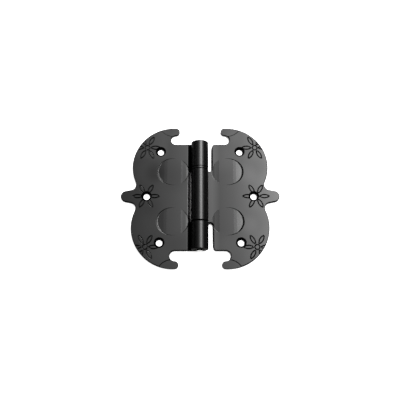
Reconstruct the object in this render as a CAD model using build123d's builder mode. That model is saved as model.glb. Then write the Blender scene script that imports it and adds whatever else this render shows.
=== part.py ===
from build123d import *
from math import asin, atan2, degrees, sqrt
import os

# Decorative butterfly hinge of pressed and rolled sheet steel, lying open on its back.
# The pin runs along Y, the leaves spread along X and their faces look up (+Z).
# The origin is on the back plane, straight under the middle of the pin. Millimetres.
# Both leaves are drawn on the +X side, and the left one is then mirrored. Each plate is drawn
# about the middle between the leaves, and the pin lies a little to the left of it.

# Sheet, pin and barrel
sheet = 2.4
barrel_radius = 5.4
bore_radius = barrel_radius - sheet
curl_angle = 303.0
pin_radius = 2.95
pin_grip_radius = bore_radius + 0.01
pin_grip_length = 11.0
pin_proud = 0.7
pin_chamfer = 1.2
washer_outer_radius = 5.3
washer_bore_radius = 3.05
washer_thickness = 1.1

# How the knuckles share the length of the barrel
half_barrel = 34.6
knuckle_gap = 0.12
middle_low = -17.1
middle_high = 16.2
bottom_high = middle_low - knuckle_gap
washer_low = middle_high + knuckle_gap
top_low = washer_low + washer_thickness
barrel_end_chamfer = 0.3
joint_chamfer = 0.45

# Outline of a leaf: two lobes, a pointed tab, and a hooked tip beyond each notch
plate_offset = 0.3
lobe_center = (16.8, 19.65)
lobe_radius = 26.15
tab_tip_x = 49.85
tab_end_radius = 3.5
tab_root_x = 30.0
tab_root_radius = 6.6
neck_radius = 3.6
notch_center_x = 15.6
hook_end_x = 15.6
hook_end_radius = 2.4
right_cuts_x = (7.6, 8.2)
left_cuts_x = (7.3, 7.3)
cut_corner_radius = 1.7
edge_chamfer = 0.45

# Screw holes
outer_hole = (25.2, 29.6)
middle_hole = (33.65, 0.0)
hole_radius = 2.1
countersink_radius = 3.2

# Oval discs: rims that slope down from two folds, a crease round the outer rim,
# and the step across each hooked tip
disc_center = (17.0, 16.2)
disc_half_width = 10.0
disc_half_height = 8.8
disc_wall_width = 0.7
disc_depth = 0.18
disc_outer_fold = (21.8, 0.9)
disc_inner_fold = (10.5, 1.5)
crease_depth = 0.2
crease_outer_width = 0.53
crease_inner_width = 0.4
crease_start_x = 15.5
tip_step_center = (17.2, 49.6)
tip_step_radius = 9.2
tip_step_depth = 0.3
tip_step_slope_width = 0.5

# Engraved flowers: the two leaves were struck a little apart
right_flower_x = 34.95
left_flower_x = 33.95
outer_flower_y = 32.35
petal_count = 6
petal_inner_end = 2.2
petal_outer_end = 8.4
petal_half_width = 1.05
groove_half_width = 0.42
groove_depth = 0.45
flower_ring_radius = 1.5

# How far a cutter stands above the face that it cuts
above = 0.3


def groove_section(radius):
    """The V of an engraved line, at the radius of its arc."""
    slope = groove_half_width / groove_depth
    half_mouth = slope * (groove_depth + above)
    Polygon(
        (radius - half_mouth, above),
        (radius, -groove_depth),
        (radius + half_mouth, above),
        align=None,
    )


def petal_cutter():
    """Two bowed lines along +X that meet at both ends of a petal."""
    half_length = (petal_outer_end - petal_inner_end) / 2
    arc_radius = (half_length**2 + petal_half_width**2) / (2 * petal_half_width)
    half_turn = degrees(asin(half_length / arc_radius))
    center = (petal_inner_end + half_length, petal_half_width - arc_radius)
    first_plane = Plane(center, x_dir=(0, 1, 0), z_dir=(1, 0, 0)).rotated((0, 0, half_turn))
    with BuildPart() as cutter:
        with BuildSketch(first_plane):
            groove_section(arc_radius)
        revolve(axis=Axis(center, (0, 0, -1)), revolution_arc=2 * half_turn)
        mirror(about=Plane.XZ)
    return cutter.part


def flower_cutter():
    """Petals all round a small ring."""
    petal = petal_cutter()
    with BuildPart() as cutter:
        with PolarLocations(0, petal_count):
            add(petal)
        with BuildSketch(Plane.XZ):
            groove_section(flower_ring_radius)
        revolve(axis=Axis.Z)
    return cutter.part


def petals_cutter():
    """The petals alone, for the flower that has a screw hole in it."""
    petal = petal_cutter()
    with BuildPart() as cutter:
        with PolarLocations(0, petal_count):
            add(petal)
    return cutter.part


def oval_cone(depth, foot_growth, mouth_growth):
    """A tapered oval from a depth below the face to above it, wider or narrower than the disc."""
    with BuildPart() as cone:
        for height, growth in ((-depth, foot_growth), (above, mouth_growth)):
            with BuildSketch(Plane.XY.offset(sheet + height)):
                with Locations(disc_center):
                    Ellipse(disc_half_width + growth, disc_half_height + growth)
        loft()
    return cone.part


def crease_cutter():
    """A line pressed round a disc, tilted so that it is deepest at the outer rim and runs out."""
    mouth_scale = (crease_depth + above) / crease_depth
    rim_x = disc_center[0] + disc_half_width
    tilt = degrees(atan2(crease_depth, rim_x - crease_start_x))
    with BuildPart() as cutter:
        add(oval_cone(crease_depth, 0, crease_outer_width * mouth_scale))
        add(oval_cone(crease_depth, 0, -crease_inner_width * mouth_scale), mode=Mode.SUBTRACT)
    return cutter.part.rotate(Axis((rim_x, 0, sheet - crease_depth), (0, 1, 0)), tilt)


def disc_cutter():
    """Sunk rims of a disc: from two soft folds the sheet slopes down to an oval wall."""
    mouth_growth = disc_wall_width * above / disc_depth
    with BuildPart() as cutter:
        with BuildSketch(Plane.XZ):
            for fold, outward in ((disc_outer_fold, 1), (disc_inner_fold, -1)):
                fold_x, softness = fold
                rim_x = disc_center[0] + outward * disc_half_width
                half_drop = disc_depth * softness / abs(rim_x - fold_x)
                Polygon(
                    (fold_x - outward * softness, sheet),
                    (fold_x + outward * softness, sheet - half_drop),
                    (rim_x, sheet - disc_depth),
                    (rim_x + outward * disc_wall_width, sheet + 2 * above),
                    (fold_x - outward * softness, sheet + 2 * above),
                    align=None,
                )
        extrude(amount=2 * half_barrel, both=True)
        add(oval_cone(disc_depth, -disc_wall_width, mouth_growth), mode=Mode.INTERSECT)
    return cutter.part


def upper_lobe(cut_x):
    """The upper half of a leaf, from the straight edge beside the barrel round to the tab."""
    lobe_x, lobe_y = lobe_center
    hook_center = (
        hook_end_x,
        lobe_y + sqrt((lobe_radius - hook_end_radius) ** 2 - (lobe_x - hook_end_x) ** 2),
    )
    notch_radius = (hook_center[1] - hook_end_radius - half_barrel) / 2
    hook_angle = degrees(atan2(hook_center[1] - lobe_y, hook_end_x - lobe_x))
    foot_angle = -degrees(asin(lobe_y / lobe_radius))
    with BuildSketch() as lobe:
        with BuildLine():
            shoulder = Line((cut_x, half_barrel), (notch_center_x, half_barrel))
            notch = CenterArc((notch_center_x, half_barrel + notch_radius), notch_radius, -90, 180)
            lip = Line(notch @ 1, (hook_end_x, hook_center[1] - hook_end_radius))
            hook = CenterArc(hook_center, hook_end_radius, -90, hook_angle - 270)
            rim = CenterArc(lobe_center, lobe_radius, hook_angle, foot_angle - hook_angle)
            Polyline(rim @ 1, (cut_x, 0), shoulder @ 0)
        make_face()
    return lobe.sketch


def leaf_outline(spans, cuts_x, offset):
    """Flat shape of a leaf; spans are the low and high ends of its knuckles along Y."""
    strip_end_x = max(cuts_x) + above
    with BuildSketch() as end_tab:
        with Locations((tab_tip_x - tab_end_radius, 0)):
            Circle(tab_end_radius)
        with Locations((tab_root_x, 0)):
            Circle(tab_root_radius)
        make_hull()
    with BuildSketch() as outline:
        add(upper_lobe(cuts_x[0]))
        mirror(upper_lobe(cuts_x[1]), about=Plane.XZ)
        add(end_tab.sketch)
        neck = outline.vertices().group_by(Axis.X)[-2]
        fillet(neck, neck_radius)
        for low, high in spans:
            with Locations((-offset, low)):
                Rectangle(strip_end_x + offset, high - low, align=(Align.MIN, Align.MIN))
        corners = outline.vertices().filter_by_position(Axis.X, min(cuts_x) - above / 2, strip_end_x)
        fillet(corners, cut_corner_radius)
    return outline.sketch


def tip_step_cutter():
    """A shallow dish with a sloping side, sunk across a hooked tip."""
    with BuildPart() as cutter:
        with BuildSketch(Plane.XZ):
            run = tip_step_slope_width / tip_step_depth
            Polygon(
                (0, -tip_step_depth),
                (tip_step_radius, -tip_step_depth),
                (tip_step_radius + run * (tip_step_depth + above), above),
                (0, above),
                align=None,
            )
        revolve(axis=Axis.Z)
    return cutter.part


def leaf_plate(spans, cuts_x, flower_x, offset):
    """A leaf with all that is cut and stamped into its face, before its knuckles are rolled."""
    flower_places = [(flower_x, outer_flower_y, sheet), (flower_x, -outer_flower_y, sheet)]
    with BuildPart() as plate:
        with BuildSketch():
            add(leaf_outline(spans, cuts_x, offset))
        extrude(amount=sheet)
        face_edges = plate.edges().group_by(Axis.Z)[-1]
        chamfer(face_edges.filter_by(lambda edge: edge.center().X > 2 * above), edge_chamfer)
        for cutter in (disc_cutter(), crease_cutter()):
            add(cutter, mode=Mode.SUBTRACT)
            add(mirror(cutter, about=Plane.XZ, mode=Mode.PRIVATE), mode=Mode.SUBTRACT)
        with Locations((*tip_step_center, sheet), (tip_step_center[0], -tip_step_center[1], sheet)):
            add(tip_step_cutter(), mode=Mode.SUBTRACT)
        with Locations((*outer_hole, sheet), (outer_hole[0], -outer_hole[1], sheet), (*middle_hole, sheet)):
            CounterSinkHole(hole_radius, countersink_radius, counter_sink_angle=90)
        with Locations(flower_places):
            add(flower_cutter(), mode=Mode.SUBTRACT)
        with Locations((flower_x, 0, sheet)):
            add(petals_cutter(), mode=Mode.SUBTRACT)
    return plate.part


def knuckle(low, high):
    """An eye of the barrel: the sheet runs in under the pin, round its far side and back over it."""
    with BuildPart() as eye:
        with BuildSketch(Plane.XZ.offset(-high)):
            with BuildLine():
                outer = CenterArc((0, barrel_radius), barrel_radius, -90, -curl_angle)
                inner = CenterArc((0, barrel_radius), bore_radius, -90, -curl_angle)
                Line(outer @ 0, inner @ 0)
                Line(outer @ 1, inner @ 1)
            make_face()
        extrude(amount=high - low)
        for end, place in ((low, 0), (high, -1)):
            rims = eye.edges().filter_by(GeomType.CIRCLE).group_by(Axis.Y)[place]
            outer_rim = rims.sort_by(SortBy.RADIUS)[-1]
            chamfer(outer_rim, barrel_end_chamfer if abs(end) == half_barrel else joint_chamfer)
    return eye.part


def leaf(spans, cuts_x, flower_x, offset):
    """One leaf rolled from a single sheet."""
    with BuildPart() as rolled:
        with Locations((offset, 0, 0)):
            add(leaf_plate(spans, cuts_x, flower_x, offset))
        for low, high in spans:
            add(knuckle(low, high))
    return rolled.part


with BuildPart() as right_leaf:
    add(leaf(((middle_low, middle_high),), right_cuts_x, right_flower_x, plate_offset))

with BuildPart() as left_leaf:
    left_spans = ((-half_barrel, bottom_high), (top_low, half_barrel))
    mirror(leaf(left_spans, left_cuts_x, left_flower_x, -plate_offset), about=Plane.YZ)

with BuildPart() as hinge_pin:
    half_pin = half_barrel + pin_proud
    with BuildSketch(Plane.XZ.offset(-half_pin)):
        with Locations((0, barrel_radius)):
            Circle(pin_grip_radius)
    extrude(amount=2 * half_pin)
    half_loose = half_barrel - pin_grip_length
    with BuildSketch(Plane.XZ.offset(-half_loose)):
        with Locations((0, barrel_radius)):
            Circle(2 * pin_radius)
            Circle(pin_radius, mode=Mode.SUBTRACT)
    extrude(amount=2 * half_loose, mode=Mode.SUBTRACT)
    ends = hinge_pin.edges().filter_by(GeomType.CIRCLE).group_by(Axis.Y)
    chamfer(ends[0] + ends[-1], pin_chamfer)

with BuildPart() as washer:
    with BuildSketch(Plane.XZ.offset(-top_low)):
        with Locations((0, barrel_radius)):
            Circle(washer_outer_radius)
            Circle(washer_bore_radius, mode=Mode.SUBTRACT)
    extrude(amount=washer_thickness)

pieces = {"left_leaf": left_leaf, "right_leaf": right_leaf, "hinge_pin": hinge_pin, "washer": washer}
os.makedirs("parts", exist_ok=True)
for name, piece in pieces.items():
    piece.part.label = name
    export_step(piece.part, f"parts/{name}.step")
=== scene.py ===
from math import cos, radians, sin, tan

import bpy
from mathutils import Matrix, Vector

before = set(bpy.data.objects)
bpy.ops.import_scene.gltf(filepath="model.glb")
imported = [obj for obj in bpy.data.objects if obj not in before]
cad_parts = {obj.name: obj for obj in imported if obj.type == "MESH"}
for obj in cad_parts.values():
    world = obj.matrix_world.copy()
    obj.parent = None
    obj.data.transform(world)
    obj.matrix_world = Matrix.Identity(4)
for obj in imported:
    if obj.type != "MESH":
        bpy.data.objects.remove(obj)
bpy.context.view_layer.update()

# Lengths are metres on the part's own axes: the pin runs along Y, and the leaves spread along X
# with their faces up. A slope is the share of a surface's normal that points along one axis.

# Camera: above the pin and a little towards the barrel's lower end, looking at the hinge's middle.
# The frame is moved by parts of a pixel, in a picture 400 pixels wide.
CAMERA_TILT = radians(16.0)
CAMERA_DISTANCE = 0.3636
CAMERA_LENS = 51.89
CAMERA_SENSOR = 36.0
CAMERA_NEAR_END = 0.01
FRAME_PIXELS = 400
FRAME_RIGHT = 0.28 / FRAME_PIXELS
FRAME_UP = -2.83 / FRAME_PIXELS

# Key light: a narrow strip that runs the way of the pin, high beyond the barrel's upper end and to
# the right of the camera's mirror direction
KEY_RIGHT = radians(18.8)
KEY_UP = radians(25.0)
KEY_DISTANCE = 2.5
KEY_WIDTH = 0.10
KEY_LENGTH = 2.0
KEY_POWER = 119.0

# Surroundings that are white to the camera alone, and a floor that glows white to the camera and in
# reflections, except close under the hinge, where its glow fades by ambient occlusion as painted
# shade
WHITE = (1.0, 1.0, 1.0, 1.0)
WORLD_LEVEL = 0.010
FLOOR_SIZE = 3.0
FLOOR_COLOR = (0.8, 0.8, 0.8, 1.0)
FLOOR_ROUGHNESS = 0.9
FLOOR_GLOW = 1.0
GLOW_SAMPLES = 16
GLOW_REACH = 0.012
GLOW_OPENNESS = (0.36, 0.46)

# Bare steel, and the slope at which a face of the pin counts as faced off
STEEL_COLOR = (0.56, 0.56, 0.55, 1.0)
STEEL_ROUGHNESS = 0.32
FACED_OFF_SLOPE = 0.99

# Black coating: its colour, its roughness, and its faint mottling and pebbles
COATING_COLOR = (0.0015, 0.0015, 0.00155)
FLAT_ROUGHNESS = 0.325
ROLLED_ROUGHNESS = 0.40
MOTTLE_SCALE = 90.0
MOTTLE_DETAIL = 3.0
MOTTLE_EDGES = (0.35, 0.65)
MOTTLE_SHADES = (0.85, 1.15)
PEBBLE_SCALE = 2600.0
PEBBLE_DETAIL = 2.0
PEBBLE_STRENGTH = 0.05
PEBBLE_HEIGHT = 0.00005

# Heights over the back of a leaf: what stands higher than the sheet is rolled, and what lies lower
# than the engraved lines isn't part of the face
ROLLED_HEIGHTS = (0.0024, 0.0026)
ROUGHER_HEIGHTS = (0.0024, 0.0036)
FACE_HEIGHTS = (0.0018, 0.00185)

# Sheen of the coating by slope, which paints light and shade: full on what lies flat, less on a
# wall and little on a side as painted shade, and more on a wall that faces the key light as a
# painted highlight
FACE_SHEEN = 0.48
WALL_SHEEN = 0.22
SIDE_SHEEN = 0.05
FLAT_SHEEN_SLOPES = (0.965, 0.993)
WALL_SHEEN_SLOPES = (0.30, 0.60)
LIT_WALL = (0.25, 0.60)
LIT_SHARE_OF_Y = 0.5
LIT_WALL_PAINTED_HIGHLIGHT = 1.9

# Sheen of the barrel, a painted highlight from its lower to its upper end, and what its end faces
# lose as painted shade
BARREL_SHEEN = 0.42
ROUND_SHEEN_SLOPES = (0.79, 0.96)
BARREL_HALF_LENGTH = 0.0346
BARREL_PAINTED_GAINS = (0.86, 1.08)
END_SLOPE = 0.7
END_PAINTED_SHADE = 0.91

# The coating rounds the engraved lines, so their walls look less steep than they are
SOFT_SLOPES = (0.72, 0.90)
WALL_SOFTNESS = 0.49
LIP_SOFTNESS = 0.28

# Edge of the left leaf under the middle knuckle: a painted highlight on its lip and painted shade
# in the gap beside it, and beyond them the barrel's painted shadow in the corners beside the outer
# knuckles
LIP_X = -0.00768
LIP_HALF_WIDTH = 0.00032
LIP_PAINTED_HIGHLIGHT = 0.19
GAP_X = -0.00704
GAP_HALF_WIDTH = 0.00025
GAP_PAINTED_SHADE = 0.92
PAINTED_SHADOW_EDGES = (0.0073, 0.0077)
SLOT_HALF_LENGTH = 0.0170

# Both leaves are drawn about a line beside the pin. Folded onto one quarter of the hinge, they have
# two screw holes and one oval.
PLATE_OFFSET = 0.0003
HOLES = ((0.0252, 0.0296, 0.0), (0.03365, 0.0, 0.0))
COUNTERSINK_RADIUS = 0.0033
OVAL_MIDDLE = (0.0170, 0.0162, 0.0)
OVAL_HALF_AXES = (0.0100, 0.0088, 1.0)

# Painted light and shade in the coating's sheen by place, as a share of the sheen by slope
LEFT_NEARNESS = (-0.040, -0.010)
RIGHT_NEARNESS = (0.008, 0.0125)
NEARNESS_GAIN = 0.22
RIGHT_GAIN = 0.76
UPPER_LEFT = (0.022, 0.029)
UPPER_LEFT_SIDE = (-0.024, -0.018)
UPPER_LEFT_GAIN = 0.36
OUTER_RIGHT = (0.020, 0.034)
OUTER_RIGHT_GAIN = 0.12
OVAL_INNER_X = (0.0105, 0.0120)
OVAL_RIM_SHARES = (1.0, 1.06)
LEFT_OVAL_PAINTED_SHADE = -0.25

# Patches of painted light and shade in the sheen: middle, reach and change of sheen
PATCH_CORE = 0.15
PAINTED_LIGHT_PATCHES = (
    ((-0.0145, 0.0125), 0.014, -0.17),
    ((-0.0285, 0.0155), 0.009, -0.36),
    ((-0.0100, -0.0310), 0.012, -0.15),
    ((-0.0360, 0.0170), 0.012, 0.15),
    ((-0.0360, -0.0200), 0.013, 0.13),
    ((-0.0285, -0.0070), 0.009, -0.10),
    ((-0.0270, -0.0380), 0.012, 0.20),
    ((0.0140, 0.0260), 0.014, 0.13),
    ((0.0140, -0.0330), 0.012, 0.12),
    ((0.0360, -0.0150), 0.012, -0.08),
    ((0.0372, 0.0200), 0.010, -0.11),
    ((0.0295, 0.0150), 0.009, 0.12),
    ((0.0300, -0.0180), 0.008, 0.16),
    ((0.0200, 0.0400), 0.008, 0.12),
    ((-0.0165, 0.0400), 0.007, 0.17),
)


class Tree:
    """The nodes of a material or of the world, with short calls for what recurs."""

    def __init__(self, owner):
        owner.use_nodes = True
        self.nodes = owner.node_tree.nodes
        self.links = owner.node_tree.links

    def feed(self, socket, value):
        """A link or a plain value into an input."""
        if isinstance(value, bpy.types.NodeSocket):
            self.links.new(value, socket)
        else:
            socket.default_value = value

    def map_range(self, value, source, target, smooth=False):
        """A value carried from one range to another."""
        node = self.nodes.new("ShaderNodeMapRange")
        if smooth:
            node.interpolation_type = "SMOOTHSTEP"
        names = ("Value", "From Min", "From Max", "To Min", "To Max")
        for name, number in zip(names, (value, *source, *target)):
            self.feed(node.inputs[name], number)
        return node.outputs["Result"]

    def math(self, operation, *values):
        """One sum on numbers."""
        node = self.nodes.new("ShaderNodeMath")
        node.operation = operation
        for socket, value in zip(node.inputs, values):
            self.feed(socket, value)
        return node.outputs["Value"]

    def vector_math(self, operation, *vectors):
        """One sum on vectors."""
        node = self.nodes.new("ShaderNodeVectorMath")
        node.operation = operation
        for socket, vector in zip(node.inputs, vectors):
            self.feed(socket, vector)
        return node.outputs["Value" if operation in ("LENGTH", "DISTANCE") else "Vector"]

    def mix(self, share, first, second):
        """A value between two others; the share stays between nought and one."""
        node = self.nodes.new("ShaderNodeMix")
        for name, value in zip(("Factor", "A", "B"), (share, first, second)):
            self.feed(node.inputs[name], value)
        return node.outputs["Result"]

    def split(self, vector):
        """X, Y and Z of a vector."""
        node = self.nodes.new("ShaderNodeSeparateXYZ")
        self.feed(node.inputs["Vector"], vector)
        return node.outputs

    def join(self, x, y, z=0.0):
        """A vector from its X, Y and Z."""
        node = self.nodes.new("ShaderNodeCombineXYZ")
        for socket, value in zip(node.inputs, (x, y, z)):
            self.feed(socket, value)
        return node.outputs["Vector"]

    def noise(self, place, scale, detail):
        """Soft noise over the surface."""
        node = self.nodes.new("ShaderNodeTexNoise")
        for name, value in (("Vector", place), ("Scale", scale), ("Detail", detail)):
            self.feed(node.inputs[name], value)
        return node.outputs["Fac"]


def new_material(name):
    """A material, its nodes and the inputs of its shader."""
    material = bpy.data.materials.new(name)
    tree = Tree(material)
    return material, tree, tree.nodes["Principled BSDF"].inputs


def in_a_hole(tree, folded):
    """One within the countersinks of a leaf, nought elsewhere."""
    nearest, *others = [tree.vector_math("DISTANCE", folded, hole) for hole in HOLES]
    for distance in others:
        nearest = tree.math("MINIMUM", distance, nearest)
    return tree.math("LESS_THAN", nearest, COUNTERSINK_RADIUS)


def sheen_by_slope(tree, slope, upright):
    """Sheen of a flat face and of the walls that stand in it: painted shade on walls and sides, and
    a painted highlight on walls that face the key light.
    """
    face = tree.map_range(upright, FLAT_SHEEN_SLOPES, (0.0, FACE_SHEEN - WALL_SHEEN), smooth=True)
    wall = tree.map_range(upright, WALL_SHEEN_SLOPES, (SIDE_SHEEN, WALL_SHEEN))
    lit = tree.math("ADD", slope["X"], tree.math("MULTIPLY", slope["Y"], LIT_SHARE_OF_Y))
    wall = tree.math("MULTIPLY", wall, tree.map_range(lit, LIT_WALL, (1.0, LIT_WALL_PAINTED_HIGHLIGHT)))
    return tree.math("ADD", face, wall)


def left_oval_ends_shade(tree, spot, folded, side):
    """Painted shade: less sheen at the inner ends of the left leaf's ovals, beside the barrel."""
    away = tree.vector_math("SUBTRACT", folded, OVAL_MIDDLE)
    rim_share = tree.vector_math("LENGTH", tree.vector_math("DIVIDE", away, OVAL_HALF_AXES))
    inside = tree.map_range(rim_share, OVAL_RIM_SHARES, (LEFT_OVAL_PAINTED_SHADE, 0.0))
    inner_end = tree.map_range(side, OVAL_INNER_X, (1.0, 0.0))
    on_left = tree.math("LESS_THAN", spot["X"], 0.0)
    return tree.math("MULTIPLY", inside, tree.math("MULTIPLY", inner_end, on_left))


def painted_gain_by_place(tree, spot, folded, side):
    """Painted light and shade: how much of its sheen the coating shows at each place of the leaves.
    """
    near_gain = 1.0 + NEARNESS_GAIN
    left_rise = tree.map_range(spot["X"], LEFT_NEARNESS, (1.0, near_gain))
    right_fall = tree.map_range(spot["X"], RIGHT_NEARNESS, (near_gain, RIGHT_GAIN))
    upper = tree.map_range(spot["Y"], UPPER_LEFT, (0.0, UPPER_LEFT_GAIN), smooth=True)
    outer = tree.map_range(spot["X"], UPPER_LEFT_SIDE, (1.0, 0.0), smooth=True)
    changes = [tree.math("MULTIPLY", upper, outer), left_oval_ends_shade(tree, spot, folded, side)]
    flat_spot = tree.join(spot["X"], spot["Y"])
    for middle, reach, change in PAINTED_LIGHT_PATCHES:
        distance = tree.vector_math("DISTANCE", flat_spot, (*middle, 0.0))
        edges = (PATCH_CORE * reach, reach)
        changes.append(tree.map_range(distance, edges, (change, 0.0), smooth=True))
    changes.append(tree.map_range(spot["X"], OUTER_RIGHT, (0.0, OUTER_RIGHT_GAIN)))
    gain = tree.math("MINIMUM", left_rise, right_fall)
    for change in changes:
        gain = tree.math("ADD", gain, change)
    return gain


def clear_of_painted_shadow(tree, spot, along):
    """Nought in the barrel's painted shadow on the left leaf beside the outer knuckles, one
    elsewhere.
    """
    leftward = tree.math("MULTIPLY", spot["X"], -1.0)
    clear = tree.map_range(leftward, PAINTED_SHADOW_EDGES, (0.0, 1.0))
    clear = tree.math("MAXIMUM", clear, tree.math("GREATER_THAN", spot["X"], 0.0))
    return tree.math("MAXIMUM", clear, tree.math("LESS_THAN", along, SLOT_HALF_LENGTH))


def sheen_of_barrel(tree, spot, upright):
    """Sheen of what is rolled, falling off to its sides as painted shade and a little more towards
    the barrel's upper end as a painted highlight.
    """
    sheen = tree.map_range(upright, ROUND_SHEEN_SLOPES, (SIDE_SHEEN, BARREL_SHEEN), smooth=True)
    ends = (-BARREL_HALF_LENGTH, BARREL_HALF_LENGTH)
    return tree.math("MULTIPLY", sheen, tree.map_range(spot["Y"], ends, BARREL_PAINTED_GAINS))


def softened_normal(tree, slope, upright, lip, engraved):
    """The surface's normal, with the walls of engraved lines laid flatter."""
    deepest = tree.map_range(lip, (0.0, 1.0), (WALL_SOFTNESS, LIP_SOFTNESS))
    softness = tree.map_range(upright, SOFT_SLOPES, (deepest, 1.0))
    scale = tree.mix(engraved, 1.0, softness)
    flatter = [tree.math("MULTIPLY", slope[axis], scale) for axis in "XY"]
    turned = tree.nodes.new("ShaderNodeVectorTransform")
    turned.vector_type = "NORMAL"
    turned.convert_from = "OBJECT"
    turned.convert_to = "WORLD"
    tree.feed(turned.inputs["Vector"], tree.join(*flatter, slope["Z"]))
    return turned.outputs["Vector"]


def mottled(tree, place):
    """The coating's colour, a little lighter and darker in patches."""
    shades = tree.nodes.new("ShaderNodeValToRGB")
    for element, edge, shade in zip(shades.color_ramp.elements, MOTTLE_EDGES, MOTTLE_SHADES):
        element.position = edge
        element.color = (*[shade * value for value in COATING_COLOR], 1.0)
    tree.feed(shades.inputs["Fac"], tree.noise(place, MOTTLE_SCALE, MOTTLE_DETAIL))
    return shades.outputs["Color"]


def pebbled(tree, place, normal):
    """A normal with very fine pebbles on it."""
    bump = tree.nodes.new("ShaderNodeBump")
    tree.feed(bump.inputs["Strength"], PEBBLE_STRENGTH)
    tree.feed(bump.inputs["Distance"], PEBBLE_HEIGHT)
    tree.feed(bump.inputs["Height"], tree.noise(place, PEBBLE_SCALE, PEBBLE_DETAIL))
    tree.feed(bump.inputs["Normal"], normal)
    return bump.outputs["Normal"]


def coated_steel(name):
    """Satin black coating on sheet steel."""
    material, tree, shader = new_material(name)
    place = tree.nodes.new("ShaderNodeTexCoord").outputs
    spot = tree.split(place["Object"])
    slope = tree.split(place["Normal"])
    upright = tree.math("ABSOLUTE", slope["Z"])
    side = tree.math("ABSOLUTE", tree.math("SUBTRACT", spot["X"], PLATE_OFFSET))
    along = tree.math("ABSOLUTE", spot["Y"])
    folded = tree.join(side, along)

    rolled = tree.map_range(spot["Z"], ROLLED_HEIGHTS, (0.0, 1.0))
    drilled = in_a_hole(tree, folded)
    lip = tree.math("COMPARE", spot["X"], LIP_X, LIP_HALF_WIDTH)
    gap = tree.math("COMPARE", spot["X"], GAP_X, GAP_HALF_WIDTH)
    end_on = tree.math("GREATER_THAN", tree.math("ABSOLUTE", slope["Y"]), END_SLOPE)

    sheen = sheen_by_slope(tree, slope, upright)
    # Painted highlight on the lip of the left leaf's edge.
    sheen = tree.math("ADD", sheen, tree.math("MULTIPLY", lip, LIP_PAINTED_HIGHLIGHT))
    # Painted light and shade by place on the leaves.
    gain = painted_gain_by_place(tree, spot, folded, side)
    # Painted shadow of the barrel beside the outer knuckles.
    gain = tree.math("MULTIPLY", clear_of_painted_shadow(tree, spot, along), gain)
    # Painted shade in the gap beside the lip.
    beside_gap = tree.math("SUBTRACT", 1.0, tree.math("MULTIPLY", gap, GAP_PAINTED_SHADE))
    # Painted shade in the countersinks, which lose all their sheen.
    for share in (gain, beside_gap, tree.math("SUBTRACT", 1.0, drilled)):
        sheen = tree.math("MULTIPLY", sheen, share)
    sheen = tree.mix(rolled, sheen, sheen_of_barrel(tree, spot, upright))
    # Painted shade: the end faces lose most of their sheen.
    kept = tree.math("SUBTRACT", 1.0, tree.math("MULTIPLY", end_on, END_PAINTED_SHADE))
    tree.feed(shader["Specular IOR Level"], tree.math("MULTIPLY", sheen, kept))

    roughness = tree.map_range(spot["Z"], ROUGHER_HEIGHTS, (FLAT_ROUGHNESS, ROLLED_ROUGHNESS))
    tree.feed(shader["Roughness"], roughness)
    engraved = tree.map_range(spot["Z"], FACE_HEIGHTS, (0.0, 1.0))
    for other in (drilled, rolled):
        engraved = tree.math("SUBTRACT", engraved, other)
    normal = softened_normal(tree, slope, upright, lip, engraved)
    tree.feed(shader["Base Color"], mottled(tree, place["Object"]))
    tree.feed(shader["Normal"], pebbled(tree, place["Object"], normal))
    return material


def bare_steel(name):
    """Turned steel of the pin's ends."""
    material, tree, shader = new_material(name)
    tree.feed(shader["Base Color"], STEEL_COLOR)
    tree.feed(shader["Metallic"], 1.0)
    tree.feed(shader["Roughness"], STEEL_ROUGHNESS)
    return material


def dress(node, material):
    """Puts one material on the whole of a CAD node."""
    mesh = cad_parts[node].data
    mesh.materials.clear()
    mesh.materials.append(material)


def bare_ends(node, material):
    """Shows bare metal where the ends of a CAD node along Y were faced off."""
    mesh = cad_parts[node].data
    mesh.materials.append(material)
    for polygon in mesh.polygons:
        if abs(polygon.normal.y) > FACED_OFF_SLOPE:
            polygon.material_index = 1


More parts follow.
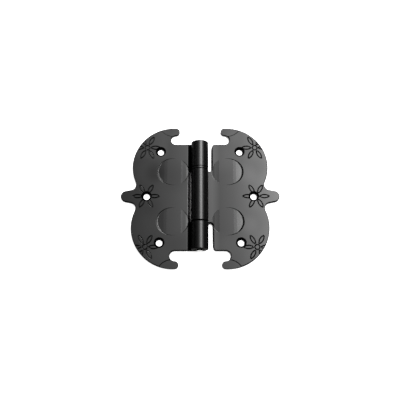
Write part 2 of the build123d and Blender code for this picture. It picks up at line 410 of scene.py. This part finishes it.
def make_floor():
    """A white floor that keeps the hinge's shadow, its glow faded close under the hinge as painted
    shade.
    """
    bpy.ops.mesh.primitive_plane_add(size=FLOOR_SIZE)
    floor = bpy.context.object
    floor.name = "floor"
    material, tree, shader = new_material("floor_white")
    path = tree.nodes.new("ShaderNodeLightPath").outputs
    seen = tree.math("MAXIMUM", path["Is Camera Ray"], path["Is Glossy Ray"])
    # Painted shade: the glow fades where ambient occlusion finds the floor closed in by the hinge.
    openness = tree.nodes.new("ShaderNodeAmbientOcclusion")
    openness.samples = GLOW_SAMPLES
    tree.feed(openness.inputs["Distance"], GLOW_REACH)
    level = tree.map_range(openness.outputs["AO"], GLOW_OPENNESS, (0.0, FLOOR_GLOW))
    tree.feed(shader["Base Color"], FLOOR_COLOR)
    tree.feed(shader["Roughness"], FLOOR_ROUGHNESS)
    tree.feed(shader["Emission Color"], WHITE)
    tree.feed(shader["Emission Strength"], tree.math("MULTIPLY", seen, level))
    floor.data.materials.append(material)


def make_world():
    """Even surroundings: white where the camera sees them, dim as a light and in reflections."""
    world = bpy.data.worlds.new("studio")
    bpy.context.scene.world = world
    tree = Tree(world)
    background = tree.nodes["Background"].inputs
    seen = tree.nodes.new("ShaderNodeLightPath").outputs["Is Camera Ray"]
    tree.feed(background["Color"], WHITE)
    tree.feed(background["Strength"], tree.map_range(seen, (0.0, 1.0), (WORLD_LEVEL, 1.0)))


def make_key():
    """The one lamp that draws the shine along the barrel."""
    toward = Vector((tan(KEY_RIGHT), tan(KEY_UP), 1.0)).normalized()
    lamp = bpy.data.lights.new("key", "AREA")
    lamp.shape = "RECTANGLE"
    lamp.size = KEY_WIDTH
    lamp.size_y = KEY_LENGTH
    lamp.energy = KEY_POWER
    key = bpy.data.objects.new("key", lamp)
    across = Vector((0, 1, 0)).cross(toward).normalized()
    turn = Matrix((across, toward.cross(across), toward)).transposed()
    key.matrix_world = Matrix.Translation(toward * KEY_DISTANCE) @ turn.to_4x4()
    bpy.context.scene.collection.objects.link(key)


def make_camera():
    """The photograph's view."""
    data = bpy.data.cameras.new("camera")
    data.sensor_width = CAMERA_SENSOR
    data.lens = CAMERA_LENS
    data.shift_x = FRAME_RIGHT
    data.shift_y = FRAME_UP
    data.clip_start = CAMERA_NEAR_END
    camera = bpy.data.objects.new("camera", data)
    camera.location = (
        0,
        -CAMERA_DISTANCE * sin(CAMERA_TILT),
        CAMERA_DISTANCE * cos(CAMERA_TILT),
    )
    camera.rotation_euler = (CAMERA_TILT, 0, 0)
    bpy.context.scene.collection.objects.link(camera)
    bpy.context.scene.camera = camera


black = coated_steel("satin_black")
for node in ("left_leaf", "right_leaf", "washer", "hinge_pin"):
    dress(node, black)
bare_ends("hinge_pin", bare_steel("turned_steel"))

make_floor()
make_world()
make_key()
make_camera()
bpy.context.scene.view_settings.view_transform = "Standard"
